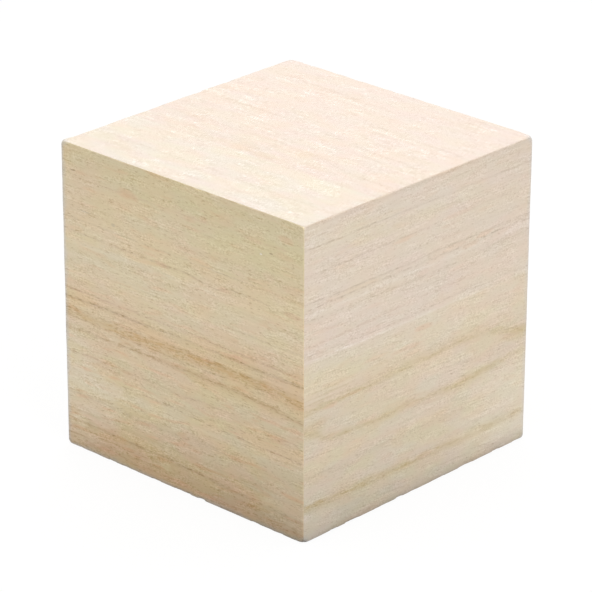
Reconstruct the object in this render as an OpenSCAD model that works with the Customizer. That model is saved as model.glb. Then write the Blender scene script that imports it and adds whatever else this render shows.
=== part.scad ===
// Wooden craft cube: one solid block of linden, cut square and sanded.
//
// The block stands on its base, centred on the Z axis, and its six faces lie
// square to the axes. Sanding leaves a small rounding along every arris, and
// takes each corner back a little further than the arrises that meet there.
// All sizes are in millimetres.

/* [Block] */
// Length of each side of the cube
edge = 100; // [20:1:150]

/* [Sanding] */
// Radius of the rounding along every arris
arris_radius = 0.5; // [0.3:0.1:3]
// How far each corner is rubbed back along its own diagonal
corner_dub = 0.5; // [0.1:0.1:0.6]

/* [Hidden] */
$fn = 64;

wood_colour = [0.87, 0.78, 0.66];

// Distance from the block's centre to the centre line of each rounding
arris_line = edge / 2 - arris_radius;

// Distance from the block's centre to the tip of a corner rounded as its
// arrises are, and then to the same corner once it has been dubbed
corner_tip = sqrt(3) * arris_line + arris_radius;
dubbed_tip = corner_tip - corner_dub;

// Square outline of the block with its four corners rounded
module rounded_square() {
    flat = 2 * arris_line;
    square([edge, flat], center = true);
    square([flat, edge], center = true);
    for (x = [-1, 1], y = [-1, 1])
        translate([x * arris_line, y * arris_line])
            circle(r = arris_radius);
}

// Bar of that outline, as long as the block, which rounds four of its arrises
module rounded_bar() {
    linear_extrude(height = edge, center = true)
        rounded_square();
}

// Reach of the sander round the corners: a ball that only they stick out of
module corner_ball() {
    sphere(r = dubbed_tip);
}

// The block, as the space that the three bars and the ball have in common
module wooden_cube() {
    color(wood_colour)
        translate([0, 0, edge / 2])
            intersection() {
                rounded_bar();
                rotate([90, 0, 0]) rounded_bar();
                rotate([0, 90, 0]) rounded_bar();
                corner_ball();
            }
}

wooden_cube();
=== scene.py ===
import math

import bmesh
import bpy
from mathutils import Matrix, Vector, noise


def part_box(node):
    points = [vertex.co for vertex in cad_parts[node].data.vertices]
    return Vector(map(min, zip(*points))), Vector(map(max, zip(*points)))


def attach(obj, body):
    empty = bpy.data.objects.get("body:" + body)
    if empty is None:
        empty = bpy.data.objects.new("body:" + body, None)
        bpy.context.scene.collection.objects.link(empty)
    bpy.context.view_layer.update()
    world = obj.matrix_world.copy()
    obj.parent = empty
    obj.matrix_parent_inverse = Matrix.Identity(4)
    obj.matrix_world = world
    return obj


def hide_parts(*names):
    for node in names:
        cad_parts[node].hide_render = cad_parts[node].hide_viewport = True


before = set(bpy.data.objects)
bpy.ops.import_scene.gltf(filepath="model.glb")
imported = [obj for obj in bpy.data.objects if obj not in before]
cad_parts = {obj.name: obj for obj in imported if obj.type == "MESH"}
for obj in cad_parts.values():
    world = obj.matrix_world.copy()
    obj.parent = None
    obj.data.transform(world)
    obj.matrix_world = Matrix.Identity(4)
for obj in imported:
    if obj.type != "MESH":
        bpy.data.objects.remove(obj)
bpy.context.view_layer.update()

blockLow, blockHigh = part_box("wooden_cube")
side = blockHigh[0] - blockLow[0]
half = side / 2


# ---- wood tones and shader helpers ----

def tone(red, green, blue):  # a wood tone given in screen values, 0 to 255, made linear
    channels = []
    for value in (red, green, blue):
        value /= 255
        channels.append(value / 12.92 if value <= 0.04045 else ((value + 0.055) / 1.055) ** 2.4)
    return (*channels, 1.0)


def feed(tree, socket, term):  # a socket takes either another node's output or a plain value
    if isinstance(term, bpy.types.NodeSocket):
        tree.links.new(term, socket)
    else:
        socket.default_value = term


def calc(tree, operation, *terms):
    node = tree.nodes.new("ShaderNodeMath")
    node.operation = operation
    for socket, term in zip(node.inputs, terms):
        feed(tree, socket, term)
    return node.outputs[0]


def plus(tree, first, *others):
    for other in others:
        first = calc(tree, "ADD", first, other)
    return first


def minus(tree, term, less):
    return calc(tree, "SUBTRACT", term, less)


def times(tree, first, *others):
    for other in others:
        first = calc(tree, "MULTIPLY", first, other)
    return first


def bell(tree, reach):  # 1 in the middle, falling away smoothly on both sides
    return calc(tree, "EXPONENT", times(tree, reach, reach, -1.0))


def ramp(tree, value, low, high, outLow=0.0, outHigh=1.0):  # smooth step from low to high
    node = tree.nodes.new("ShaderNodeMapRange")
    node.interpolation_type = "SMOOTHSTEP"
    for name, term in (("Value", value), ("From Min", low), ("From Max", high),
                       ("To Min", outLow), ("To Max", outHigh)):
        feed(tree, node.inputs[name], term)
    return node.outputs[0]


def blend(tree, blendType, amount, under, over):
    node = tree.nodes.new("ShaderNodeMix")
    node.data_type = "RGBA"
    node.blend_type = blendType
    feed(tree, node.inputs["Factor"], amount)
    feed(tree, node.inputs[6], under)
    feed(tree, node.inputs[7], over)
    return node.outputs[2]


def split(tree, vector):
    node = tree.nodes.new("ShaderNodeSeparateXYZ")
    feed(tree, node.inputs[0], vector)
    return node.outputs


def join(tree, x, y, z):
    node = tree.nodes.new("ShaderNodeCombineXYZ")
    for socket, term in zip(node.inputs, (x, y, z)):
        feed(tree, socket, term)
    return node.outputs[0]


def stretchedNoise(tree, along, across, seed, lengths, detail=2.0, roughness=0.5):
    # noise drawn out along the grain; lengths is how often it repeats along and across one side
    node = tree.nodes.new("ShaderNodeTexNoise")
    node.inputs["Scale"].default_value = 1.0
    node.inputs["Detail"].default_value = detail
    node.inputs["Roughness"].default_value = roughness
    place = join(tree, times(tree, along, lengths[0]), times(tree, across, lengths[1]), seed)
    feed(tree, node.inputs["Vector"], place)
    return node.outputs[0]


def startGroup(name, inputs, outputs):
    group = bpy.data.node_groups.new(name, "ShaderNodeTree")
    for label, kind, value in inputs:
        socket = group.interface.new_socket(label, in_out="INPUT", socket_type="NodeSocket" + kind)
        if value is not None:
            socket.default_value = value
    for label, kind in outputs:
        group.interface.new_socket(label, in_out="OUTPUT", socket_type="NodeSocket" + kind)
    return group, group.nodes.new("NodeGroupInput").outputs, group.nodes.new("NodeGroupOutput").inputs


def useGroup(tree, group, **terms):
    node = tree.nodes.new("ShaderNodeGroup")
    node.node_tree = group
    for label, term in terms.items():
        feed(tree, node.inputs[label], term)
    return node.outputs


# ---- effects that every face uses, as node groups ----
# Places on a face are shares of its side: along the grain from its left end, and down from its upper edge.
# A noise is given as how often it repeats along and across the grain over one side, with its shift from
# the face's seed if it has one. A range is where it begins to tell and where it tells in full, and then
# the values there if they aren't 0 and 1.

flowShape = {
    "slow": (1.6, 2.4), "quick": (7.0, 9.0),  # the long and the short sways
    "quickShare": 0.4,
}


def makeGrainFlow():
    # turns a place on a face into a place in its grain: Along runs with the growth lines and Across over
    # them, Leaning is Across for the fibres, which cross the growth lines at a slight angle, and Straight
    # is down the face without a sway
    group, given, out = startGroup(
        "grainFlow",
        [("Place", "Vector", None), ("Waviness", "Float", 0.01), ("Lean at top", "Float", 0.0),
         ("Lean at foot", "Float", 0.0), ("Seed", "Float", 0.0)],
        [("Along", "Float"), ("Across", "Float"), ("Leaning", "Float"), ("Straight", "Float")])
    along, down = split(group, given["Place"])[:2]
    slow = stretchedNoise(group, along, down, given["Seed"], flowShape["slow"], 1.0)
    quick = stretchedNoise(group, along, down, given["Seed"], flowShape["quick"], 1.0)
    quickSway = times(group, minus(group, quick, 0.5), flowShape["quickShare"])
    sway = plus(group, minus(group, slow, 0.5), quickSway)
    across = plus(group, down, times(group, sway, given["Waviness"]))
    lean = ramp(group, down, 0.0, 1.0, given["Lean at top"], given["Lean at foot"])
    feed(group, out["Along"], along)
    feed(group, out["Across"], across)
    feed(group, out["Leaning"], minus(group, across, times(group, lean, along)))
    feed(group, out["Straight"], down)
    return group


fibreShape = {
    "grain": [  # noise and weight of each layer of fine grain, from specks to streaks
        ((150.0, 250.0), 0.0, 8.0), ((20.0, 225.0), 3.7, 4.2), ((3.0, 190.0), 8.1, 3.6)],
    "busy": ((12.0, 40.0), 12.9), "busyRange": (0.35, 0.65, 0.3, 1.8),  # patches of strong and faint grain
    "pores": ((54.0, 235.0), 5.3), "poreRange": (0.61, 0.74), "poreRoughness": 0.6,
    "crowding": 0.10,             # how much sooner pores show on a growth line
    "glintRange": (0.36, 0.26),
    "rusty": ((9.0, 42.0), 15.7), "rustyRange": (0.56, 0.74),
}


def makeFibres():
    # Grain is the fine light and dark of sanded fibres. Dashes are the cut pores, which crowd where
    # Density is high, Glints are the fibres that catch the light, and Rust is the redder ones.
    group, given, out = startGroup(
        "fibres",
        [("Along", "Float", 0.0), ("Across", "Float", 0.0), ("Density", "Float", 0.0),
         ("Seed", "Float", 0.0)],
        [("Grain", "Float"), ("Dashes", "Float"), ("Glints", "Float"), ("Rust", "Float")])

    def layer(lengths, shift, *texture):
        return stretchedNoise(group, given["Along"], given["Across"], plus(group, given["Seed"], shift),
                              lengths, *texture)

    grain = 0.0
    for lengths, shift, weight in fibreShape["grain"]:
        grain = plus(group, grain, times(group, minus(group, layer(lengths, shift, 0.0), 0.5), weight))
    busy = layer(*fibreShape["busy"], 1.0)
    pores = layer(*fibreShape["pores"], 1.0, fibreShape["poreRoughness"])
    rusty = layer(*fibreShape["rusty"], 1.0)
    crowded = plus(group, pores, times(group, given["Density"], fibreShape["crowding"]))
    feed(group, out["Grain"], times(group, grain, ramp(group, busy, *fibreShape["busyRange"])))
    feed(group, out["Dashes"], ramp(group, crowded, *fibreShape["poreRange"]))
    feed(group, out["Glints"], ramp(group, pores, *fibreShape["glintRange"]))
    feed(group, out["Rust"], ramp(group, rusty, *fibreShape["rustyRange"]))
    return group


lineShape = {
    "wander": 0.005, "wanderNoise": (9.0, 1.0),  # how far a line strays from its path, and how often
    "fray": 0.008,                # how far its borders fray
    "coreSpread": 0.0024,
}


def makeGrowthLine():
    # one growth line along Path: Above and Below are how far it spreads to each side, Shown how much of it
    # is there, and Core is the thin row of darker marks along its middle, which Broken makes into dashes
    group, given, out = startGroup(
        "growthLine",
        [("Along", "Float", 0.0), ("Across", "Float", 0.0), ("Ragged", "Float", 0.5), ("Path", "Float", 0.5),
         ("Shown", "Float", 1.0), ("Broken", "Float", 1.0), ("Above", "Float", 0.004),
         ("Below", "Float", 0.004), ("Seed", "Float", 0.0)],
        [("Line", "Float"), ("Core", "Float")])
    wander = stretchedNoise(group, given["Along"], 0.0, given["Seed"], lineShape["wanderNoise"], 2.0)
    sway = plus(group, times(group, minus(group, wander, 0.5), lineShape["wander"]),
                times(group, minus(group, given["Ragged"], 0.5), lineShape["fray"]))
    offset = plus(group, minus(group, given["Across"], given["Path"]), sway)
    under = calc(group, "GREATER_THAN", offset, 0.0)
    width = plus(group, given["Above"], times(group, under, minus(group, given["Below"], given["Above"])))
    body = bell(group, calc(group, "DIVIDE", offset, width))
    feed(group, out["Line"], times(group, body, given["Shown"]))
    core = bell(group, calc(group, "DIVIDE", offset, lineShape["coreSpread"]))
    feed(group, out["Core"], times(group, core, given["Shown"], given["Broken"]))
    return group


stainShape = {
    "edge": 1.2,                  # squared reach at which a stain ends, where 1 is its stated size
    "fray": 2.0,
}


def makeStain():
    # a soft patch of another tone, drawn out along the grain
    group, given, out = startGroup(
        "stain",
        [("Along", "Float", 0.0), ("Across", "Float", 0.0), ("Ragged", "Float", 0.5),
         ("Centre along", "Float", 0.5), ("Centre across", "Float", 0.5),
         ("Length", "Float", 0.1), ("Height", "Float", 0.02)],
        [("Stain", "Float")])
    across = calc(group, "DIVIDE", minus(group, given["Across"], given["Centre across"]), given["Height"])
    along = calc(group, "DIVIDE", minus(group, given["Along"], given["Centre along"]), given["Length"])
    reach = plus(group, times(group, across, across), times(group, along, along))
    ring = plus(group, reach, times(group, minus(group, given["Ragged"], 0.5), stainShape["fray"]))
    feed(group, out["Stain"], ramp(group, ring, stainShape["edge"], 0.0))
    return group


greyingAndFootShadeShape = {
    "bandNoiseScale": 260.0, "bandNoiseDetail": 3.0,
    "bandNoiseRange": (0.3, 0.7, 0.7, 1.3),  # how much narrower or wider a greyed or shaded band gets from place to place
}


def makeArrisGreyingAndFootShade():
    # 1 on an arris and 0 past Width from it: Upright is for the upright arrises, all but the front one, Foot
    # is the band of painted contact shade along those the block stands on, and Corner is for every corner but
    # the upper front one
    group, given, out = startGroup(
        "arrisGreyingAndFootShade",
        [("Place", "Vector", None), ("Half side", "Float", 0.05), ("Width", "Float", 0.0016),
         ("Foot width", "Float", 0.0014), ("Corner width", "Float", 0.003)],
        [("Upright", "Float"), ("Foot", "Float"), ("Corner", "Float")])
    x, y, z = split(group, given["Place"])
    bandNoise = group.nodes.new("ShaderNodeTexNoise")
    bandNoise.inputs["Scale"].default_value = greyingAndFootShadeShape["bandNoiseScale"]
    bandNoise.inputs["Detail"].default_value = greyingAndFootShadeShape["bandNoiseDetail"]
    feed(group, bandNoise.inputs["Vector"], given["Place"])
    ragged = ramp(group, bandNoise.outputs[0], *greyingAndFootShadeShape["bandNoiseRange"])

    def near(gap, width):
        return ramp(group, gap, times(group, given[width], ragged), 0.0)

    away = [calc(group, "ABSOLUTE", term) for term in (x, y)]
    front = times(group, calc(group, "GREATER_THAN", x, 0.0), calc(group, "LESS_THAN", y, 0.0))
    uprightGap = minus(group, given["Half side"], calc(group, "MINIMUM", *away))
    feed(group, out["Upright"], times(group, near(uprightGap, "Width"), minus(group, 1.0, front)))
    # Foot marks the band of painted contact shade along the foot arrises
    feed(group, out["Foot"], near(z, "Foot width"))

    height = minus(group, z, given["Half side"])
    gaps = [minus(group, given["Half side"], term) for term in (*away, calc(group, "ABSOLUTE", height))]
    upper = times(group, front, calc(group, "GREATER_THAN", height, 0.0))
    corner = near(plus(group, *gaps), "Corner width")
    feed(group, out["Corner"], times(group, corner, minus(group, 1.0, upper)))
    return group


grainFlow = makeGrainFlow()
fibres = makeFibres()
growthLine = makeGrowthLine()
stain = makeStain()
arrisGreyingAndFootShade = makeArrisGreyingAndFootShade()
print("shared wood effects made")


# ---- wood of each face ----

greyLine = tone(206, 190, 162)
brownLine = tone(190, 160, 118)
darkLine = tone(172, 142, 106)
duskLine = tone(190, 170, 144)
amberLine = tone(192, 154, 104)
rustLine = tone(204, 160, 126)
amberBand = tone(222, 186, 131)
oliveLine = tone(208, 188, 142)
oliveBrown = tone(206, 184, 138)
paleLine = tone(254, 246, 236)
paleStain = tone(250, 238, 214)
rustStain = tone(230, 182, 146)
pinkStain = tone(240, 204, 180)
oliveStain = tone(226, 218, 172)
greyStain = tone(236, 224, 198)

frontWood = {
    "alongGrain": (1, 0, 0), "down": (0, 0, -1),  # how the grain runs, and which way is down
    "waviness": 0.004, "seed": 1.37,
    "lean": (0.0, -0.05), "fineness": (1.0, 1.0),  # the fibres' slant at top and foot, and how fine they are
    "tones": [  # place down, and tone
        (0.02, (231, 213, 178)), (0.12, (237, 219, 185)), (0.30, (243, 224, 191)),
        (0.42, (243, 224, 191)), (0.50, (240, 216, 181)), (0.60, (240, 217, 182)),
        (0.64, (240, 220, 187)), (0.68, (240, 220, 186)), (0.77, (241, 221, 189)),
        # the darker stops towards the foot are partly the wood's own darker zone and partly painted shade
        (0.87, (228, 206, 172)), (0.92, (223, 197, 161)), (0.99, (205, 180, 147)),
    ],
    "lines": [  # path, how much of it shows, tint and its strength, spread above and below, crowding of pores
        ([(0, 0.105), (0.3, 0.10), (1, 0.095)],
         [(0, 0), (0.1, 0.4), (0.33, 0.7), (0.45, 0.4), (0.6, 0.7), (0.7, 0.2), (0.8, 0.6), (1, 0.2)],
         rustLine, 0.16, 0.004, 0.004, 0.4),
        ([(0, 0.236), (0.5, 0.238), (1, 0.24)],
         [(0, 0.7), (0.25, 0.6), (0.55, 0.7), (0.65, 0.9), (0.8, 0.5), (1, 0)],
         greyLine, 0.24, 0.003, 0.003, 0.3),
        ([(0, 0.277), (0.3, 0.281), (0.45, 0.281), (0.5, 0.278), (0.64, 0.294), (0.72, 0.279),
          (0.82, 0.279), (0.9, 0.287), (1, 0.285)],
         [(0, 0.5), (0.14, 0.6), (0.22, 0.6), (0.3, 1), (0.44, 1), (0.5, 0.7), (0.58, 0.8), (0.66, 0.8),
          (0.8, 0.6), (0.87, 0.3), (0.95, 0.5), (1, 0.4)],
         brownLine, 0.26, 0.003, 0.004, 0.8),
        ([(0, 0.40), (1, 0.40)],
         [(0, 0), (0.65, 0), (0.72, 0.6), (0.95, 0.6), (1, 0.4)],
         greyLine, 0.25, 0.004, 0.005, 0.5),
        ([(0, 0.471), (0.5, 0.470), (1, 0.474)],
         [(0, 0.8), (0.06, 0.9), (0.12, 0.6), (0.45, 0.5), (0.6, 0.7), (0.8, 0.8), (1, 0.6)],
         rustLine, 0.40, 0.003, 0.004, 0.6),
        ([(0, 0.499), (0.1, 0.498), (0.25, 0.498), (0.35, 0.499), (0.5, 0.496), (0.65, 0.497),
          (0.8, 0.499), (1, 0.500)],
         [(0, 1), (0.05, 1), (0.1, 1), (0.28, 0.95), (0.45, 0.6), (0.52, 0.5), (0.6, 0.4), (0.65, 0.6),
          (0.72, 0.7), (0.85, 0.9), (0.9, 0.7), (0.97, 1), (1, 0.9)],
         darkLine, 0.30, 0.004, 0.006, 1.0),
        ([(0, 0.546), (0.1, 0.548), (0.3, 0.553), (0.45, 0.551), (0.55, 0.544), (0.65, 0.540),
          (0.8, 0.543), (0.9, 0.548), (1, 0.556)],
         [(0, 0.58), (0.08, 0.52), (0.18, 0.56), (0.3, 0.8), (0.5, 0.8), (0.65, 0.92), (0.8, 0.84),
          (0.9, 0.74), (1, 0.78)],
         amberBand, 0.94, 0.018, 0.020, 0.6),
        ([(0, 0.537), (0.3, 0.534), (0.5, 0.533), (0.7, 0.534), (1, 0.533)],
         [(0, 0.9), (0.06, 0.8), (0.12, 0.4), (0.25, 0.6), (0.5, 0.8), (0.6, 0.4), (0.75, 0.5),
          (1, 0.5)],
         amberLine, 0.15, 0.004, 0.005, 0.8),
        ([(0, 0.562), (0.2, 0.566), (0.4, 0.572), (0.6, 0.570), (0.8, 0.560), (1, 0.566)],
         [(0, 0.9), (0.2, 0.8), (0.35, 0.9), (0.5, 0.8), (0.6, 0.7), (0.75, 0.4), (0.85, 0.5), (1, 0.5)],
         amberLine, 0.15, 0.005, 0.004, 0.8),
        ([(0, 0.603), (0.1, 0.598), (0.2, 0.599), (0.3, 0.595), (0.38, 0.597), (0.5, 0.596),
          (0.6, 0.594), (0.7, 0.595), (0.8, 0.599), (0.9, 0.606), (1, 0.616)],
         [(0, 0.8), (0.1, 0.75), (0.2, 0.75), (0.28, 1), (0.36, 0.9), (0.42, 0.8), (0.5, 0.9),
          (0.65, 1), (0.85, 1), (1, 1)],
         amberLine, 0.40, 0.009, 0.009, 0.7),
        ([(0, 0.682), (0.12, 0.677), (0.5, 0.681), (0.6, 0.675), (1, 0.68)],
         [(0, 0.4), (0.05, 0.7), (0.14, 0.6), (0.2, 0.4), (0.4, 0.4), (0.5, 0.5), (0.6, 0.6),
          (0.7, 0.4), (0.8, 0.1), (1, 0.1)],
         rustLine, 0.20, 0.005, 0.006, 0.7),
        ([(0, 0.72), (0.8, 0.715), (0.86, 0.704), (0.93, 0.692), (1, 0.690)],
         [(0, 0), (0.3, 0.2), (0.4, 0.5), (0.5, 0.3), (0.65, 0.45), (0.8, 0.4), (0.86, 0.9),
          (0.93, 0.9), (1, 0.4)],
         rustLine, 0.07, 0.005, 0.005, 0.6),
        ([(0, 0.74), (0.38, 0.732), (0.55, 0.737), (0.65, 0.742), (0.8, 0.742), (1, 0.744)],
         [(0, 0.5), (0.3, 0.5), (0.38, 0.8), (0.46, 0.8), (0.54, 0.8), (0.65, 0.8), (0.77, 1), (1, 1)],
         brownLine, 0.16, 0.003, 0.004, 0.8),
        ([(0, 0.815), (0.2, 0.818), (0.35, 0.823), (0.45, 0.824), (0.6, 0.814), (1, 0.826)],
         [(0, 1.0), (0.28, 0.8), (0.4, 0.6), (0.58, 0.8), (0.7, 0.4), (0.95, 0.2), (1, 0.1)],
         greyLine, 0.28, 0.010, 0.012, 0.5),
        ([(0, 0.905), (0.1, 0.907), (0.25, 0.911), (0.5, 0.914), (0.6, 0.918), (0.75, 0.925),
          (0.85, 0.931), (0.92, 0.936), (1, 0.94)],
         [(0, 0.5), (0.2, 0.9), (0.45, 0.9), (0.55, 0.4), (0.75, 0.2), (0.85, 0.2), (1, 0)],
         brownLine, 0.15, 0.003, 0.040, 0.1),
        ([(0, 0.905), (0.1, 0.907), (0.25, 0.911), (0.5, 0.914), (0.6, 0.918), (0.75, 0.925),
          (0.85, 0.928), (0.92, 0.932), (1, 0.935)],
         [(0, 0.3), (0.08, 0.4), (0.22, 0.6), (0.4, 0.9), (0.6, 0.9), (0.8, 0.8), (0.92, 0.9), (1, 0.7)],
         darkLine, 0.30, 0.005, 0.008, 0.7),
        ([(0, 0.942), (0.2, 0.940), (0.35, 0.938), (1, 0.955)],
         [(0, 0), (0.1, 0.1), (0.2, 0.2), (0.35, 0.6), (0.5, 0.3), (1, 0.4)],
         brownLine, 0.22, 0.003, 0.004, 0.7),
        ([(0, 0.958), (0.2, 0.960), (0.4, 0.956), (0.8, 0.957), (1, 0.965)],
         [(0, 1), (0.2, 1), (0.4, 0.5), (0.62, 0.1), (0.8, 0.6), (1, 0.6)],
         brownLine, 0.18, 0.004, 0.007, 0.7),
        ([(0, 0.972), (0.2, 0.970), (0.35, 0.974), (0.5, 0.975), (0.6, 0.978), (0.75, 0.977),
          (1, 0.978)],
         [(0, 0.4), (0.2, 0.9), (0.35, 0.5), (0.5, 0.8), (0.6, 0.9), (0.75, 0.8), (0.95, 0.9), (1, 0.6)],
         rustLine, 0.30, 0.005, 0.006, 0.9),
    ],
    "stains": [  # centre along and down, half length, half height, tint and its strength
        (0.80, 0.12, 0.35, 0.12, oliveStain, 0.30), (0.40, 0.05, 0.30, 0.06, oliveStain, 0.22),
        (0.12, 0.15, 0.22, 0.10, pinkStain, 0.10), (0.20, 0.35, 0.35, 0.07, greyStain, 0.30),
        (0.75, 0.45, 0.30, 0.05, pinkStain, 0.15), (0.25, 0.45, 0.25, 0.04, pinkStain, 0.10),
        (0.20, 0.575, 0.25, 0.02, pinkStain, 0.25), (0.12, 0.76, 0.25, 0.035, greyStain, 0.30),
        (0.30, 0.315, 0.35, 0.015, greyStain, 0.30), (0.35, 0.415, 0.40, 0.012, pinkStain, 0.15),
        (0.285, 0.100, 0.05, 0.018, rustStain, 0.35), (0.54, 0.105, 0.03, 0.010, rustStain, 0.20),
        (0.60, 0.09, 0.02, 0.012, rustStain, 0.22), (0.69, 0.07, 0.04, 0.025, rustStain, 0.15),
        (0.80, 0.095, 0.04, 0.012, rustStain, 0.15), (0.93, 0.06, 0.035, 0.015, rustStain, 0.32),
        (0.92, 0.115, 0.05, 0.012, rustStain, 0.18), (0.53, 0.205, 0.05, 0.010, rustStain, 0.18),
        (0.05, 0.80, 0.22, 0.13, paleStain, 0.40), (0.86, 0.195, 0.03, 0.02, pinkStain, 0.25),
        (0.95, 0.21, 0.04, 0.015, rustStain, 0.18), (0.42, 0.280, 0.03, 0.010, rustStain, 0.35),
        (0.69, 0.287, 0.04, 0.010, rustStain, 0.32), (0.95, 0.287, 0.04, 0.012, rustStain, 0.28),
        (0.74, 0.492, 0.04, 0.012, rustStain, 0.25), (0.81, 0.50, 0.05, 0.010, amberBand, 0.20),
        (0.28, 0.591, 0.06, 0.010, amberBand, 0.30), (0.45, 0.592, 0.10, 0.008, amberBand, 0.18),
        (0.265, 0.680, 0.03, 0.008, amberBand, 0.32), (0.77, 0.682, 0.03, 0.008, amberBand, 0.20),
        (0.10, 0.686, 0.16, 0.012, amberLine, 0.10), (0.25, 0.580, 0.35, 0.012, amberLine, 0.10),
        (0.89, 0.700, 0.05, 0.012, rustStain, 0.28), (0.62, 0.69, 0.15, 0.02, pinkStain, 0.22),
        (0.72, 0.72, 0.05, 0.02, pinkStain, 0.22), (0.38, 0.83, 0.03, 0.015, pinkStain, 0.22),
        (0.70, 0.87, 0.04, 0.015, pinkStain, 0.2), (0.12, 0.888, 0.05, 0.015, pinkStain, 0.2),
        (0.88, 0.884, 0.16, 0.010, greyLine, 0.16), (0.60, 0.98, 0.05, 0.010, rustStain, 0.30),
        (0.17, 0.972, 0.06, 0.014, rustStain, 0.25), (0.48, 0.972, 0.06, 0.010, rustStain, 0.25),
        (0.24, 0.915, 0.05, 0.010, amberBand, 0.30), (0.43, 0.94, 0.03, 0.015, oliveStain, 0.25),
        (0.57, 0.915, 0.05, 0.008, rustStain, 0.20), (0.81, 0.925, 0.04, 0.010, rustStain, 0.18),
        (0.05, 0.083, 0.012, 0.003, darkLine, 0.6), (0.87, 0.119, 0.008, 0.003, darkLine, 0.6),
        (0.10, 0.204, 0.03, 0.003, greyLine, 0.5), (0.22, 0.213, 0.01, 0.006, greyLine, 0.5),
        (0.83, 0.131, 0.006, 0.003, paleLine, 0.9), (0.40, 0.45, 0.32, 0.05, paleStain, 0.18),
        (0.12, 0.565, 0.30, 0.05, paleStain, 0.32), (0.02, 0.66, 0.16, 0.06, paleStain, 0.34),
        (0.33, 0.75, 0.15, 0.05, paleStain, 0.10), (0.35, 0.61, 0.20, 0.06, paleStain, 0.14),
        (0.08, 0.546, 0.22, 0.016, brownLine, 0.12), (0.02, 0.95, 0.14, 0.06, paleStain, 0.24),
        (0.98, 0.90, 0.18, 0.09, paleStain, 0.26),
    ],
    "layers": [  # place down, and how much lighter or darker it is
        (0.196, -0.03), (0.316, 0.05), (0.339, -0.04), (0.359, 0.045), (0.411, 0.045), (0.437, -0.055),
        (0.521, 0.06), (0.641, 0.065), (0.769, 0.065), (0.848, 0.045), (0.873, -0.07),
    ],
    "grainDepth": (0.027, 0.034), "rustDepth": (0.22, 0.42), "mottling": (0.28, 0.46),  # at top, at foot
    "dashDepth": 0.38, "coreDepth": 0.24, "glintLift": 0.03,
    "grainTint": (0.82, 1.0, 1.58), "dashTint": tone(196, 172, 124),
    # the foot greying and foot tint below are painted contact shade along the foot arrises
    "arrisGreying": 0.60, "footShadeGreying": 0.45, "footShadeTint": tone(248, 248, 248),
}

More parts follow.
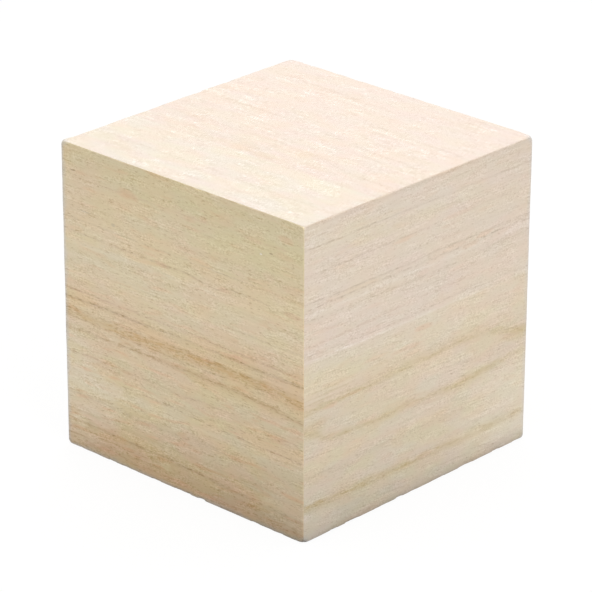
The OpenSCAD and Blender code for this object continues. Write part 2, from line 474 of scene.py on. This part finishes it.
rightWood = {
    "alongGrain": (0, 1, 0), "down": (0, 0, -1),
    "waviness": 0.004, "seed": 2.61,
    "lean": (0.02, 0.08), "fineness": (1.1, 1.0),
    "tones": [
        (0.004, (222, 205, 188)), (0.02, (229, 214, 198)), (0.17, (231, 215, 198)),
        (0.426, (234, 218, 202)), (0.440, (232, 217, 196)), (0.51, (233, 218, 196)),
        (0.56, (231, 214, 191)), (0.64, (230, 214, 193)), (0.78, (231, 216, 193)),
        # the darker stops towards the foot are painted shade
        (0.86, (228, 214, 193)), (0.93, (222, 208, 188)), (0.975, (213, 200, 181)),
        (0.996, (200, 186, 168)),
    ],
    "lines": [
        ([(0, 0.030), (0.6, 0.035), (0.9, 0.030), (1, 0.037)],
         [(0, 0.7), (0.3, 0.6), (0.5, 0.3), (0.65, 0.4), (0.8, 0.6), (0.95, 0.9), (1, 0.5)],
         greyLine, 0.32, 0.004, 0.004, 0.4),
        ([(0, 0.077), (0.12, 0.078), (0.25, 0.075), (0.6, 0.079), (1, 0.078)],
         [(0, 0.6), (0.13, 0.9), (0.2, 0.8), (0.25, 1), (0.35, 0.8), (0.5, 0.4), (0.6, 0.3), (0.8, 0.5),
          (0.95, 0.7), (1, 0.3)],
         duskLine, 0.38, 0.003, 0.003, 0.6),
        ([(0, 0.160), (0.25, 0.158), (0.45, 0.157), (0.7, 0.154), (0.85, 0.151), (1, 0.156)],
         [(0, 0.7), (0.12, 0.95), (0.27, 1), (0.32, 0.8), (0.4, 1), (0.55, 0.8), (0.62, 0.8),
          (0.73, 0.8), (0.77, 0.45), (0.85, 0.8), (0.92, 0.45), (1, 0.3)],
         duskLine, 0.15, 0.004, 0.005, 0.6),
        ([(0, 0.244), (0.2, 0.246), (0.42, 0.247), (0.6, 0.243), (0.8, 0.246), (0.9, 0.243), (1, 0.246)],
         [(0, 0.7), (0.1, 0.7), (0.18, 0.9), (0.3, 0.6), (0.42, 0.7), (0.5, 0.5), (0.58, 0.9),
          (0.7, 0.7), (0.8, 0.6), (0.9, 0.4), (1, 0.3)],
         duskLine, 0.31, 0.003, 0.005, 0.8),
        ([(0, 0.263), (0.1, 0.263), (0.3, 0.261), (0.5, 0.264), (0.75, 0.264), (0.9, 0.261), (1, 0.265)],
         [(0, 0.6), (0.1, 0.9), (0.16, 0.8), (0.28, 0.9), (0.35, 0.6), (0.5, 0.6), (0.6, 0.8),
          (0.75, 0.9), (0.85, 0.9), (0.92, 0.9), (1, 0.4)],
         duskLine, 0.21, 0.004, 0.004, 0.9),
        ([(0, 0.282), (0.5, 0.283), (1, 0.282)],
         [(0, 0.9), (0.2, 0.9), (0.3, 0.9), (0.6, 0.7), (0.8, 0.5), (1, 0.3)],
         paleLine, 0.30, 0.008, 0.004, 0.0),
        ([(0, 0.298), (0.2, 0.301), (0.5, 0.306), (0.6, 0.307), (1, 0.30)],
         [(0, 0.7), (0.15, 0.8), (0.25, 0.8), (0.4, 1), (0.5, 0.9), (0.6, 0.7), (0.75, 0.5),
          (0.85, 0.6), (1, 0.6)],
         greyLine, 0.30, 0.006, 0.009, 0.6),
        ([(0, 0.380), (0.2, 0.378), (0.35, 0.373), (0.55, 0.370), (0.7, 0.370), (1, 0.38)],
         [(0, 0.4), (0.1, 0.7), (0.35, 0.9), (0.5, 0.4), (0.58, 0.5), (0.7, 0.7), (0.8, 0.4), (1, 0.3)],
         rustLine, 0.16, 0.006, 0.007, 0.6),
        ([(0, 0.405), (0.1, 0.410), (0.5, 0.417), (0.7, 0.410), (0.85, 0.416), (1, 0.422)],
         [(0, 0.8), (0.3, 0.7), (0.5, 0.7), (0.6, 0.7), (0.7, 0.8), (0.76, 0.2), (0.84, 0.2),
          (0.96, 0.3), (1, 0.3)],
         duskLine, 0.26, 0.003, 0.003, 0.7),
        ([(0, 0.424), (0.3, 0.430), (0.5, 0.432), (0.68, 0.431), (0.85, 0.437), (1, 0.435)],
         [(0, 0.9), (0.2, 0.9), (0.35, 0.7), (0.5, 0.8), (0.65, 0.6), (0.85, 0.5), (1, 0.3)],
         paleLine, 0.33, 0.004, 0.004, 0.0),
        ([(0, 0.590), (0.08, 0.587), (0.15, 0.585), (0.3, 0.583), (0.5, 0.581), (0.63, 0.575),
          (0.75, 0.577), (0.85, 0.595), (0.93, 0.618), (1, 0.635)],
         [(0, 0.8), (0.1, 0.9), (0.2, 1), (0.35, 0.85), (0.5, 0.8), (0.65, 0.7), (0.8, 0.75), (0.9, 1),
          (1, 0.9)],
         oliveLine, 0.64, 0.020, 0.008, 0.2),
        ([(0, 0.645), (0.04, 0.660), (0.1, 0.690), (0.2, 0.702), (0.3, 0.706), (0.45, 0.704),
          (0.55, 0.704), (0.65, 0.710), (0.75, 0.708), (0.85, 0.700), (1, 0.694)],
         [(0, 0.8), (0.1, 0.9), (0.3, 0.8), (0.45, 0.85), (0.55, 0.8), (0.7, 0.95), (0.85, 0.85),
          (0.95, 0.6), (1, 0.5)],
         oliveLine, 0.62, 0.011, 0.014, 0.2),
        ([(0, 0.66), (0.55, 0.655), (0.62, 0.668), (0.72, 0.662), (1, 0.66)],
         [(0, 0.5), (0.2, 0.3), (0.5, 0.2), (0.56, 0.6), (0.7, 0.7), (0.74, 0.1), (1, 0)],
         greyLine, 0.16, 0.003, 0.004, 0.4),
        ([(0, 0.793), (0.1, 0.794), (0.35, 0.792), (0.5, 0.797), (0.6, 0.799), (0.8, 0.804), (1, 0.806)],
         [(0, 0.6), (0.1, 0.7), (0.2, 0.5), (0.35, 0.8), (0.45, 0.8), (0.55, 0.8), (0.65, 0.7),
          (0.75, 0.5), (1, 0.3)],
         greyLine, 0.30, 0.012, 0.018, 0.5),
        ([(0, 0.890), (0.15, 0.893), (0.3, 0.897), (0.5, 0.899), (0.6, 0.901), (0.8, 0.902), (1, 0.902)],
         [(0, 0.9), (0.05, 0.95), (0.25, 1), (0.45, 0.95), (0.6, 0.85), (0.75, 0.6), (0.9, 0.65),
          (1, 0.5)],
         oliveBrown, 0.70, 0.013, 0.013, 0.4),
    ],
    "stains": [
        (0.20, 0.08, 0.25, 0.05, oliveStain, 0.12), (0.45, 0.11, 0.30, 0.03, oliveStain, 0.12),
        (0.85, 0.47, 0.30, 0.05, pinkStain, 0.10), (0.15, 0.50, 0.30, 0.05, oliveStain, 0.18),
        (0.42, 0.165, 0.05, 0.010, rustStain, 0.16), (0.65, 0.155, 0.08, 0.010, rustStain, 0.12),
        (0.24, 0.255, 0.08, 0.010, amberBand, 0.10), (0.65, 0.255, 0.06, 0.012, rustStain, 0.14),
        (0.79, 0.253, 0.05, 0.010, rustStain, 0.24), (0.72, 0.27, 0.06, 0.010, rustStain, 0.14),
        (0.52, 0.472, 0.05, 0.012, rustStain, 0.28), (0.30, 0.503, 0.06, 0.008, rustStain, 0.16),
        (0.45, 0.515, 0.08, 0.010, rustStain, 0.18), (0.20, 0.583, 0.07, 0.007, rustStain, 0.34),
        (0.11, 0.590, 0.04, 0.010, rustStain, 0.28), (0.93, 0.625, 0.06, 0.015, rustStain, 0.18),
        (0.13, 0.688, 0.04, 0.008, rustStain, 0.2), (0.27, 0.69, 0.06, 0.010, rustStain, 0.14),
        (0.04, 0.64, 0.08, 0.035, oliveLine, 0.28), (0.98, 0.630, 0.12, 0.026, oliveLine, 0.28),
        (0.10, 0.530, 0.11, 0.004, oliveBrown, 0.34), (0.12, 0.546, 0.12, 0.004, oliveBrown, 0.30),
        (0.06, 0.561, 0.08, 0.004, oliveBrown, 0.30), (0.53, 0.895, 0.04, 0.012, rustStain, 0.2),
        (0.48, 0.71, 0.04, 0.010, rustStain, 0.14), (0.97, 0.85, 0.30, 0.15, paleStain, 0.28),
        (0.85, 0.93, 0.25, 0.05, greyStain, 0.2), (0.02, 0.96, 0.15, 0.06, paleLine, 0.13),
        (0.98, 0.95, 0.20, 0.06, paleLine, 0.12), (0.98, 0.79, 0.25, 0.10, paleLine, 0.05),
        (0.60, 0.65, 0.20, 0.05, paleLine, 0.07),
    ],
    "layers": [
        (0.045, -0.04), (0.086, 0.035), (0.112, -0.03), (0.176, 0.02), (0.208, -0.03), (0.322, 0.008),
        (0.340, -0.03), (0.745, 0.03), (0.949, 0.03),
    ],
    "grainDepth": (0.0235, 0.020), "rustDepth": (0.12, 0.13), "mottling": (0.18, 0.36),
    "dashDepth": 0.27, "coreDepth": 0.20, "glintLift": 0.03,
    "grainTint": (0.84, 1.0, 1.3), "dashTint": tone(196, 172, 148),
    # the foot greying and foot tint below are painted contact shade along the foot arrises
    "arrisGreying": 0.35, "footShadeGreying": 0.05, "footShadeTint": tone(243, 243, 243),
}

topWood = {
    "alongGrain": (1, 0, 0), "down": (0, -1, 0),
    "waviness": 0.006, "seed": 3.83,
    "lean": (0.0, 0.0), "fineness": (1.4, 0.28),
    "tones": [
        (0.02, (222, 206, 194)), (0.4, (222, 206, 193)), (0.698, (221, 205, 192)),
        (0.706, (221, 209, 195)), (0.8, (221, 208, 194)), (0.99, (221, 209, 196)),
    ],
    "lines": [
        ([(0, 0.12), (0.3, 0.13), (1, 0.15)],
         [(0, 0.7), (0.1, 0.9), (0.35, 0.9), (0.5, 0.3), (1, 0.4)],
         duskLine, 0.13, 0.007, 0.009, 0.8),
        ([(0, 0.255), (0.5, 0.26), (0.8, 0.275), (1, 0.285)],
         [(0, 0.6), (0.15, 0.8), (0.4, 0.5), (0.5, 0.2), (0.6, 0.9), (0.7, 0.7), (0.8, 1), (1, 0.8)],
         duskLine, 0.09, 0.007, 0.010, 0.8),
        ([(0, 0.40), (0.35, 0.402), (0.6, 0.422), (0.75, 0.435), (1, 0.445)],
         [(0, 0.7), (0.13, 1), (0.35, 0.7), (0.5, 0.4), (0.6, 0.7), (0.75, 0.9), (0.85, 0.9), (1, 0.5)],
         duskLine, 0.13, 0.007, 0.009, 0.8),
        ([(0, 0.580), (0.3, 0.575), (0.55, 0.57), (0.7, 0.59), (0.85, 0.61), (1, 0.61)],
         [(0, 0.6), (0.1, 0.7), (0.3, 0.8), (0.42, 0.5), (0.6, 0.6), (0.7, 0.8), (0.85, 1), (1, 0.9)],
         duskLine, 0.13, 0.007, 0.009, 0.8),
        ([(0, 0.85), (0.2, 0.863), (0.45, 0.865), (0.75, 0.872), (1, 0.868)],
         [(0, 0.4), (0.15, 1), (0.3, 0.9), (0.5, 0.9), (0.7, 1), (0.85, 0.7), (1, 0.7)],
         duskLine, 0.11, 0.007, 0.009, 0.8),
    ],
    "stains": [
        (0.44, 0.66, 0.055, 0.045, brownLine, 0.08), (0.44, 0.66, 0.05, 0.04, amberBand, 0.09),
        (0.53, 0.68, 0.05, 0.022, brownLine, 0.15), (0.61, 0.59, 0.035, 0.035, oliveLine, 0.18),
        (0.37, 0.55, 0.04, 0.03, brownLine, 0.05), (0.27, 0.20, 0.30, 0.12, pinkStain, 0.05),
        (0.75, 0.74, 0.30, 0.04, oliveStain, 0.05),
    ],
    "layers": [
        (0.234, 0.004), (0.419, -0.004),
    ],
    "grainDepth": (0.0018, 0.0018), "rustDepth": (0.08, 0.08), "mottling": (0.20, 0.30),
    "dashDepth": 0.05, "coreDepth": 0.08, "glintLift": 0.008,
    "grainTint": (0.95, 1.0, 1.3), "dashTint": tone(186, 174, 150),
    "arrisGreying": 0.0, "footShadeGreying": 0.0, "footShadeTint": tone(255, 255, 255),
}


def elsewhere(face, alongGrain, down, seed):  # the same growth layers where they come out on another face
    return dict(face, alongGrain=alongGrain, down=down, seed=seed)


# the back and left faces take over these settings, the painted shade at the foot included
backWood = elsewhere(frontWood, (1, 0, 0), (0, 0, -1), 4.43)
leftWood = elsewhere(rightWood, (0, 1, 0), (0, 0, -1), 5.29)
bottomWood = elsewhere(topWood, (1, 0, 0), (0, -1, 0), 6.71)

commonWood = {
    "roughness": 0.62, "roughnessSpread": 0.04, "poreRoughness": 0.15,
    "bumpHeight": 0.00002, "bumpStrength": 0.5, "grainRelief": 0.3,  # grain's relief as a share of the pores'
    "ragged": ((18.0, 80.0), 21.0), "raggedRange": (0.3, 0.7, 0.45, 1.05),  # frays lines and stains
    "raggedRoughness": 0.6,
    "dotted": ((44.0, 165.0), 31.0), "dottedRange": (0.3, 0.7, 0.7, 1.3),   # makes lines uneven
    "brokenRange": (0.44, 0.62),  # where a line's dark middle is broken off
    "mottles": [  # noise and two tints of each mottling, from pink to green and from yellow to blue
        ((9.0, 20.0), 11.0, tone(255, 243, 241), tone(246, 252, 242)),
        ((7.0, 16.0), 13.0, tone(255, 252, 232), tone(251, 252, 255))],
    "mottleRange": (0.35, 0.65),
    "downRange": (0.3, 0.8), "grainDownRange": (0.75, 0.92),  # where a top value goes over into the foot's
    "layerSpread": 0.007,
    "rustTint": tone(252, 226, 206), "coreTint": tone(176, 142, 108),
    "arrisWidth": 0.0020, "footWidth": 0.0016,  # arrises and corners are greyed, and the foot arrises greyed and darkened as painted contact shade
    "cornerWidth": 0.0045, "cornerGreying": 0.65, "greyingAndFootShadeTint": tone(249, 249, 249),
}


def makeCurve(tree, value, points):  # a curve through points, as shares of the side
    node = tree.nodes.new("ShaderNodeFloatCurve")
    placed = node.mapping.curves[0].points
    placed[0].location = points[0]
    placed[1].location = points[-1]
    for point in points[1:-1]:
        placed.new(*point)
    for point in placed:
        point.handle_type = "AUTO_CLAMPED"
    node.mapping.update()
    feed(tree, node.inputs["Value"], value)
    return node.outputs[0]


def layerPoints(layers):  # a curve that lies at one half and leaves it for each faint growth layer
    spread = commonWood["layerSpread"]
    points = [(0, 0.5)]
    for across, level in layers:
        points += [(across - spread, 0.5), (across, 0.5 + level), (across + spread, 0.5)]
    return [*points, (1, 0.5)]


def makeTones(tree, value, stops):
    node = tree.nodes.new("ShaderNodeValToRGB")
    placed = node.color_ramp.elements
    while len(placed) < len(stops):
        placed.new(0.5)
    for stop, (position, colour) in zip(placed, stops):
        stop.position = position
        stop.color = tone(*colour)
    feed(tree, node.inputs[0], value)
    return node.outputs["Color"]


def makeWood(name, face):
    material = bpy.data.materials.new(name)
    material.use_nodes = True
    tree = material.node_tree
    shader = tree.nodes["Principled BSDF"]

    place = tree.nodes.new("ShaderNodeTexCoord").outputs["Object"]
    alongGrain, down = Vector(face["alongGrain"]), Vector(face["down"])
    turned = Matrix((alongGrain, down, alongGrain.cross(down)))
    middle = turned @ Vector((0, 0, half)) / side  # where the block's middle lands
    mapping = tree.nodes.new("ShaderNodeMapping")
    mapping.inputs["Scale"].default_value = (1 / side,) * 3
    mapping.inputs["Rotation"].default_value = turned.to_euler()
    mapping.inputs["Location"].default_value = Vector((0.5, 0.5, 0.5)) - middle
    feed(tree, mapping.inputs["Vector"], place)

    flow = useGroup(tree, grainFlow, **{
        "Place": mapping.outputs[0], "Waviness": face["waviness"], "Lean at top": face["lean"][0],
        "Lean at foot": face["lean"][1], "Seed": face["seed"]})
    along, across = flow["Along"], flow["Across"]

    def woodNoise(down, lengths, shift, *texture):
        return stretchedNoise(tree, along, down, face["seed"] + shift, lengths, *texture)

    ragged = woodNoise(flow["Leaning"], *commonWood["ragged"], 2.0, commonWood["raggedRoughness"])
    colour = makeTones(tree, flow["Straight"], face["tones"])

    def downFace(values, downRange="downRange"):  # a value that changes from the top to the foot
        return ramp(tree, flow["Straight"], *commonWood[downRange], *values)

    mottling = downFace(face["mottling"])
    for lengths, shift, *tints in commonWood["mottles"]:
        mottle = woodNoise(across, lengths, shift, 1.0)
        tint = blend(tree, "MIX", ramp(tree, mottle, *commonWood["mottleRange"]), *tints)
        colour = blend(tree, "MULTIPLY", mottling, colour, tint)

    for centreAlong, centreAcross, length, height, tint, strength in face["stains"]:
        spot = useGroup(tree, stain, **{
            "Along": along, "Across": across, "Ragged": ragged, "Centre along": centreAlong,
            "Centre across": centreAcross, "Length": length, "Height": height})
        colour = blend(tree, "MIX", times(tree, spot["Stain"], strength), colour, tint)

    dotted = woodNoise(flow["Leaning"], *commonWood["dotted"], 1.0)
    patchy = times(tree, ramp(tree, ragged, *commonWood["raggedRange"]),
                   ramp(tree, dotted, *commonWood["dottedRange"]))
    broken = ramp(tree, dotted, *commonWood["brokenRange"])
    density, cores = 0.0, 0.0
    for number, (path, shown, tint, strength, above, below, crowding) in enumerate(face["lines"]):
        drawn = useGroup(tree, growthLine, Along=along, Across=across, Ragged=ragged,
                         Path=makeCurve(tree, along, path), Shown=makeCurve(tree, along, shown),
                         Broken=broken, Above=above, Below=below, Seed=face["seed"] * 10 + number)
        colour = blend(tree, "MIX", times(tree, drawn["Line"], patchy, strength), colour, tint)
        density = plus(tree, density, times(tree, drawn["Line"], crowding))
        cores = calc(tree, "MAXIMUM", cores, times(tree, drawn["Core"], crowding))
    colour = blend(tree, "MULTIPLY", times(tree, cores, face["coreDepth"]), colour, commonWood["coreTint"])

    layers = makeCurve(tree, across, layerPoints(face["layers"]))
    threads = useGroup(tree, fibres, Along=times(tree, along, face["fineness"][0]),
                       Across=times(tree, flow["Leaning"], face["fineness"][1]),
                       Density=density, Seed=face["seed"])
    grain = times(tree, threads["Grain"], downFace(face["grainDepth"], "grainDownRange"))
    grain = plus(tree, grain, times(tree, threads["Glints"], face["glintLift"]))
    grain = plus(tree, grain, times(tree, patchy, minus(tree, layers, 0.5)))
    lightness = [plus(tree, 1.0, times(tree, grain, share)) for share in face["grainTint"]]
    colour = blend(tree, "MULTIPLY", 1.0, colour, join(tree, *lightness))
    pores = times(tree, threads["Dashes"], face["dashDepth"])
    colour = blend(tree, "MULTIPLY", pores, colour, face["dashTint"])
    rust = times(tree, threads["Rust"], downFace(face["rustDepth"]))
    colour = blend(tree, "MULTIPLY", rust, colour, commonWood["rustTint"])

    greyingAndFootShade = useGroup(tree, arrisGreyingAndFootShade, **{
        "Place": place, "Half side": half, "Width": commonWood["arrisWidth"],
        "Foot width": commonWood["footWidth"], "Corner width": commonWood["cornerWidth"]})
    grey = tree.nodes.new("ShaderNodeRGBToBW")
    feed(tree, grey.inputs[0], colour)
    greyed = times(tree, greyingAndFootShade["Upright"], face["arrisGreying"])
    # greying at the foot arrises is painted contact shade
    greyed = calc(tree, "MAXIMUM", greyed, times(tree, greyingAndFootShade["Foot"], face["footShadeGreying"]))
    greyed = calc(tree, "MAXIMUM", greyed, times(tree, greyingAndFootShade["Corner"], commonWood["cornerGreying"]))
    colour = blend(tree, "MIX", greyed, colour, grey.outputs[0])
    colour = blend(tree, "MULTIPLY", greyed, colour, commonWood["greyingAndFootShadeTint"])
    # painted contact shade darkens the foot arrises
    colour = blend(tree, "MULTIPLY", greyingAndFootShade["Foot"], colour, face["footShadeTint"])
    feed(tree, shader.inputs["Base Color"], colour)

    shine = minus(tree, commonWood["roughness"], times(tree, threads["Grain"], commonWood["roughnessSpread"]))
    feed(tree, shader.inputs["Roughness"],
         plus(tree, shine, times(tree, threads["Dashes"], commonWood["poreRoughness"])))

    bump = tree.nodes.new("ShaderNodeBump")
    bump.inputs["Strength"].default_value = commonWood["bumpStrength"]
    bump.inputs["Distance"].default_value = commonWood["bumpHeight"]
    relief = minus(tree, times(tree, threads["Grain"], commonWood["grainRelief"]), threads["Dashes"])
    feed(tree, bump.inputs["Height"], relief)
    feed(tree, shader.inputs["Normal"], bump.outputs[0])
    return material


faceWoods = [makeWood(name, face) for name, face in (
    ("frontWood", frontWood), ("rightWood", rightWood), ("backWood", backWood),
    ("leftWood", leftWood), ("topWood", topWood), ("bottomWood", bottomWood))]
print("wood of the six faces made")


# ---- the block ----

blockShape = {
    "rim": 0.010,            # band beside each arris that gets fine divisions
    "rimRows": 12, "rimSteps": 240,
    "crowding": 0.85,        # how far the divisions crowd towards the arrises, from 0 to 1
    "arris": 0.00045,        # radius of the sanded arrises
    "arrises": {  # those that differ: radius at the low end and at the high end
        (0, -1, 1): (0.00018, 0.00020), (1, 0, 1): (0.00030, 0.00032), (1, -1, 0): (0.00040, 0.00040),
        (0, -1, -1): (0.00025, 0.00025), (1, 0, -1): (0.00035, 0.00035), (-1, 0, 1): (0.0012, 0.0002),
        (0, 1, 1): (0.0002, 0.0002)},
    "cornerRun": 0.004,      # over how much of its length an arris goes over to its own radius
    "cornerHold": 0.25,      # how far from the corner that begins, as a share of the run
    "unevenness": 0.3, "unevenScale": 90,  # share by which a radius wanders, and how often per metre
    "dub": 0.0005,           # how deep an ordinary corner is sanded off
    "dubs": {(-1, -1, -1): 0.00038, (1, -1, -1): 0.00056, (1, 1, -1): 0.00025,
             (1, -1, 1): 0.00035, (1, 1, 1): 0.00048, (-1, 1, 1): 0.00033, (-1, -1, 1): 0.00036},
    "dubSoftness": 0.30,     # how gently a corner's flat runs out, as a share of its depth
    "dubReach": 6,           # how far off a dub still tells, as a multiple of its softness
    "outOfSquare": {  # how far a corner of the block is out of place
        (1, 1, -1): (-0.00050, 0, 0), (1, 1, 1): (-0.00008, -0.00006, 0)},
    "torn": {1: 0.0006, 0: 0.0001, -1: 0.0007},  # added to upper, upright and lower arrises by torn fibres
    "tornLength": 0.0032, "tornShare": 0.6, "tornScale": 300,  # length of a torn step, and how it is frayed
}

faceOrder = [Vector((0, -1, 0)), Vector((1, 0, 0)), Vector((0, 1, 0)),
             Vector((-1, 0, 0)), Vector((0, 0, 1)), Vector((0, 0, -1))]


def crowded(value):  # moves a division towards the nearer arris
    share = value / half
    pull = blockShape["crowding"] * math.sin(math.pi * share) / math.pi
    return half * (share + pull)


def arrisRadius(point):  # each arris has its own radius, and all run into the common one at the corners
    least = min(range(3), key=lambda axis: abs(point[axis]))
    arris = tuple(0 if axis == least else int(math.copysign(1, point[axis])) for axis in range(3))
    common = blockShape["arris"]
    low, high = blockShape["arrises"].get(arris, (common, common))
    own = low + (high - low) * (0.5 + point[least] / side)
    own *= 1 + blockShape["unevenness"] * noise.noise(point * blockShape["unevenScale"])
    step = point[least] / blockShape["tornLength"]
    torn = noise.cell(Vector((step, arris[0] * 3.5 + arris[1], arris[2] * 2.5)))  # other steps on each arris
    shred = noise.noise(Vector((point[least] * blockShape["tornScale"], *arris[:2])))
    torn *= blockShape["tornShare"] + shred
    own += max(0.0, torn) * blockShape["torn"][arris[2]]
    share = (half - abs(point[least])) / blockShape["cornerRun"] - blockShape["cornerHold"]
    share = min(1.0, max(0.0, share))
    share *= share * (3 - 2 * share)
    return common + (own - common) * share


def rounded(point):  # where a point of the sharp block lies once it is sanded
    radius = arrisRadius(point)
    core = Vector([max(radius - half, min(half - radius, value)) for value in point])
    outward = point - core
    onArris = sum(1 for value in outward if abs(value) > 1e-7) > 1
    eased = core + outward.normalized() * radius if onArris else point.copy()

    signs = tuple(int(math.copysign(1, value)) for value in point)
    diagonal = Vector(signs).normalized()
    tip = half * math.sqrt(3) - radius * (math.sqrt(3) - 1)
    depth = blockShape["dubs"].get(signs, blockShape["dub"])
    over = eased.dot(diagonal) - (tip - depth)
    softness = depth * blockShape["dubSoftness"]
    if over > -blockShape["dubReach"] * softness:
        eased -= diagonal * softness * math.log(1 + math.exp(over / softness))
    return eased


def skewed(point):  # moves a point with the corners that are out of place
    moved = point.copy()
    for signs, shift in blockShape["outOfSquare"].items():
        nearness = [0.5 + sign * value / side for sign, value in zip(signs, point)]
        moved += Vector(shift) * math.prod(nearness)
    return moved


def makeBlock():
    bm = bmesh.new()
    bmesh.ops.create_cube(bm, size=side)
    for face in bm.faces:
        face.material_index = max(range(6), key=lambda index: faceOrder[index].dot(face.normal))
    bmesh.ops.inset_individual(bm, faces=bm.faces[:], thickness=blockShape["rim"], use_even_offset=True)
    short = [edge for edge in bm.edges if edge.calc_length() < side / 2]
    bmesh.ops.subdivide_edges(bm, edges=short, cuts=blockShape["rimRows"] - 1)
    lengthwise = [edge for edge in bm.edges if edge.calc_length() > side / 2]
    bmesh.ops.subdivide_edges(bm, edges=lengthwise, cuts=blockShape["rimSteps"] - 1)
    for vert in bm.verts:
        vert.co = skewed(rounded(Vector([crowded(value) for value in vert.co])))
    bmesh.ops.translate(bm, verts=bm.verts[:], vec=(0, 0, half))
    for face in bm.faces:
        face.smooth = True
    mesh = bpy.data.meshes.new("woodBlock")
    bm.to_mesh(mesh)
    bm.free()
    for material in faceWoods:
        mesh.materials.append(material)
    block = bpy.data.objects.new("woodBlock", mesh)
    bpy.context.scene.collection.objects.link(block)
    return block


block = makeBlock()
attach(block, "root")
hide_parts("wooden_cube")
print("block made,", len(block.data.polygons), "faces")


# ---- floor, light and camera ----

studio = {
    "floorSize": 12.0,
    "floorBounce": 0.40,     # how much light the floor gives back to the block
    "dip": (0.06, -0.06, 0.0), "dipRadius": 0.10, "dipBounce": 0.05,  # less of it before the front corner
    "floorShown": 0.10,      # how much of the floor's own light and shade the camera sees
    "whiteRange": (0.3, 0.9),  # distances over which the floor fades into the white sky
    "skyStrength": 0.55,
    "lamps": [  # name, place, aimed at, size, watts
        ("overheadLamp", (0, 0, 0.33), (0, 0, 0), 0.8, 1.275),
        ("rightLamp", (0.8, -0.2, 0.35), (0, 0, 0.05), 0.5, 2.5),
        ("frontLamp", (-0.2, -0.8, 0.35), (0, 0, 0.05), 0.5, 0.7),
        ("backLamp", (-0.6, 0.6, 0.4), (0, 0, 0.05), 0.6, 2.0),
    ],
}


def seenDirectly(tree):  # 1 for what the camera sees, straight or in a shiny surface
    rays = tree.nodes.new("ShaderNodeLightPath").outputs
    direct = calc(tree, "MAXIMUM", rays["Is Camera Ray"], rays["Is Glossy Ray"])
    return calc(tree, "MAXIMUM", direct, rays["Is Transmission Ray"])


def reachFrom(tree, place, centre):  # how far a place lies from a centre
    node = tree.nodes.new("ShaderNodeVectorMath")
    node.operation = "DISTANCE"
    feed(tree, node.inputs[0], place)
    feed(tree, node.inputs[1], centre)
    return node.outputs["Value"]


def makeFloor():
    bm = bmesh.new()
    bmesh.ops.create_grid(bm, x_segments=1, y_segments=1, size=studio["floorSize"] / 2)
    mesh = bpy.data.meshes.new("studioFloor")
    bm.to_mesh(mesh)
    bm.free()
    floor = bpy.data.objects.new("studioFloor", mesh)
    bpy.context.scene.collection.objects.link(floor)
    material = bpy.data.materials.new("paleFloor")
    material.use_nodes = True
    tree = material.node_tree
    tree.nodes.clear()
    place = tree.nodes.new("ShaderNodeTexCoord").outputs["Object"]
    shown = seenDirectly(tree)
    bounce = ramp(tree, reachFrom(tree, place, studio["dip"]), 0.0, studio["dipRadius"],
                  studio["dipBounce"], studio["floorBounce"])
    level = plus(tree, bounce, times(tree, shown, minus(tree, studio["floorShown"], bounce)))
    grey = tree.nodes.new("ShaderNodeBsdfDiffuse")
    feed(tree, grey.inputs["Color"], join(tree, level, level, level))
    glow = tree.nodes.new("ShaderNodeEmission")
    feed(tree, glow.inputs["Strength"], times(tree, shown, 1 - studio["floorShown"]))
    both = tree.nodes.new("ShaderNodeAddShader")
    feed(tree, both.inputs[0], grey.outputs[0])
    feed(tree, both.inputs[1], glow.outputs[0])
    white = tree.nodes.new("ShaderNodeEmission")
    far = times(tree, ramp(tree, reachFrom(tree, place, (0, 0, 0)), *studio["whiteRange"]), shown)
    mixed = tree.nodes.new("ShaderNodeMixShader")
    feed(tree, mixed.inputs[0], far)
    feed(tree, mixed.inputs[1], both.outputs[0])
    feed(tree, mixed.inputs[2], white.outputs[0])
    end = tree.nodes.new("ShaderNodeOutputMaterial")
    feed(tree, end.inputs["Surface"], mixed.outputs[0])
    mesh.materials.append(material)
    return floor


def makeSky():
    world = bpy.data.worlds.new("paleSky")
    bpy.context.scene.world = world
    world.use_nodes = True
    tree = world.node_tree
    strength = plus(tree, studio["skyStrength"], times(tree, seenDirectly(tree), 1 - studio["skyStrength"]))
    sky = tree.nodes["Background"]
    sky.inputs["Color"].default_value = (1, 1, 1, 1)
    feed(tree, sky.inputs["Strength"], strength)


def makeLamp(name, place, aim, size, watts):
    lamp = bpy.data.lights.new(name, "AREA")
    lamp.size = size
    lamp.energy = watts
    holder = bpy.data.objects.new(name, lamp)
    holder.location = place
    holder.rotation_euler = (Vector(aim) - Vector(place)).to_track_quat("-Z", "Y").to_euler()
    bpy.context.scene.collection.objects.link(holder)


floor = makeFloor()
makeSky()
for lampSettings in studio["lamps"]:
    makeLamp(*lampSettings)

cameraView = {
    "azimuth": 43.3834, "elevation": 23.2254, "roll": 0.1020,  # degrees
    "distance": 1.09378, "aim": (0.000130, -0.000632, 0.048721),
    "lens": 218.421, "sensorWidth": 36, "nearest": 0.05,
}


def makeCamera():
    data = bpy.data.cameras.new("camera")
    data.sensor_width = cameraView["sensorWidth"]
    data.lens = cameraView["lens"]
    data.clip_start = cameraView["nearest"]
    camera = bpy.data.objects.new("camera", data)
    azimuth, elevation = math.radians(cameraView["azimuth"]), math.radians(cameraView["elevation"])
    backward = Vector((math.sin(azimuth) * math.cos(elevation),
                       -math.cos(azimuth) * math.cos(elevation), math.sin(elevation)))
    rolled = Matrix.Rotation(math.radians(cameraView["roll"]), 3, "Z")
    turned = backward.to_track_quat("Z", "Y").to_matrix() @ rolled
    camera.location = Vector(cameraView["aim"]) + backward * cameraView["distance"]
    camera.rotation_euler = turned.to_euler()
    bpy.context.scene.collection.objects.link(camera)
    bpy.context.scene.camera = camera


makeCamera()
bpy.context.scene.view_settings.view_transform = "Standard"
print("studio made")
